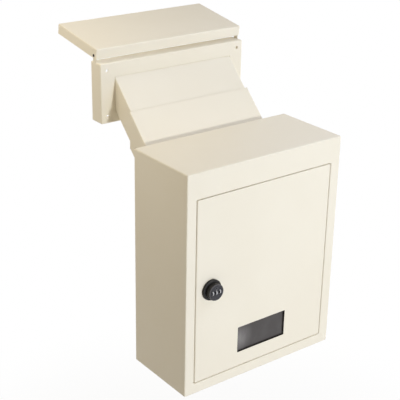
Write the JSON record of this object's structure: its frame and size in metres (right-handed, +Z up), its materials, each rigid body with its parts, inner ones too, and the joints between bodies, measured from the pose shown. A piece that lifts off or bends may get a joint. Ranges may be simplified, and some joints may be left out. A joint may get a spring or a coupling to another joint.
{
  "type": "through-wall mailbox",
  "caption": "Lockable steel mail box for the room side of a wall, with a sloping telescopic chute to an outdoor hopper and its hinged lid.",
  "frame": {"origin": "centre of the four wall holes, on the outer face of the back panel", "axes": "+Y out through the wall, square to the back panel; +Z up; +X to the right as seen from the room"},
  "size_m": [0.335, 0.4279, 0.5721],
  "materials": {
    "ivory_steel": "ivory powder coat, satin",
    "black_metal": "black satin die casting",
    "black_plastic": "black moulded, semi-gloss",
    "white_wheel": "pale moulded wheels with dark digits",
    "smoked_pane": "smoked acrylic",
    "zinc_steel": "bright zinc plate",
    "nylon": "natural nylon"
  },
  "bodies": {
    "case": {"case_shell": "ivory_steel", "back_panel": "ivory_steel", "chute_sleeve": "ivory_steel", "door_stops": "ivory_steel", "hinge_pins": "zinc_steel", "hinge_washers": "nylon"},
    "door": {"door_panel": "ivory_steel", "window_pane": "smoked_pane", "window_retainer": "zinc_steel", "window_studs": "zinc_steel", "window_nuts": "zinc_steel", "lock_housing": "black_metal", "lock_washer": "zinc_steel", "lock_nut": "zinc_steel"},
    "knob": {"lock_knob": "black_metal", "knob_cover": "black_metal", "wheel_axle": "zinc_steel", "lock_spindle": "zinc_steel", "cam_washer": "zinc_steel", "lock_cam": "zinc_steel", "cam_screw": "zinc_steel"},
    "wheel_1": {"number_wheel_1": "white_wheel"},
    "wheel_2": {"number_wheel_2": "white_wheel"},
    "wheel_3": {"number_wheel_3": "white_wheel"},
    "button": {"code_button": "black_plastic"},
    "hopper": {"hopper_frame": "ivory_steel", "inner_chute": "ivory_steel"},
    "lid": {"lid": "ivory_steel", "lid_rivets": "black_metal"}
  },
  "joints": [
    {"name": "door_hinge", "type": "hinge", "parent": "case", "child": "door", "pos_m": [0.1374, -0.1445, 0], "axis": [0, 0, 1], "range_deg": [0, 115]},
    {"name": "knob_turn", "type": "hinge", "parent": "door", "child": "knob", "pos_m": [-0.115, -0.15, 0.0356], "axis": [0, 1, 0], "range_deg": [0, 90]},
    {"name": "wheel_1_turn", "type": "hinge", "parent": "knob", "child": "wheel_1", "pos_m": [-0.1225, -0.1626, 0.0356], "axis": [1, 0, 0], "continuous": true},
    {"name": "wheel_2_turn", "type": "hinge", "parent": "knob", "child": "wheel_2", "pos_m": [-0.115, -0.1626, 0.0356], "axis": [1, 0, 0], "continuous": true},
    {"name": "wheel_3_turn", "type": "hinge", "parent": "knob", "child": "wheel_3", "pos_m": [-0.1075, -0.1626, 0.0356], "axis": [1, 0, 0], "continuous": true},
    {"name": "button_press", "type": "slide", "parent": "knob", "child": "button", "axis": [0, 1, 0], "range_m": [0, 0.0015], "stiffness_N_per_m": 60, "springref_m": -0.003},
    {"name": "chute_slide", "type": "slide", "parent": "case", "child": "hopper", "axis": [0, 0.7071, 0.7071], "range_m": [-0.0636, 0.0495]},
    {"name": "lid_hinge", "type": "hinge", "parent": "hopper", "child": "lid", "pos_m": [0, 0.1376, 0.3803], "axis": [1, 0, 0], "range_deg": [-98.7, 0]}
  ]
}
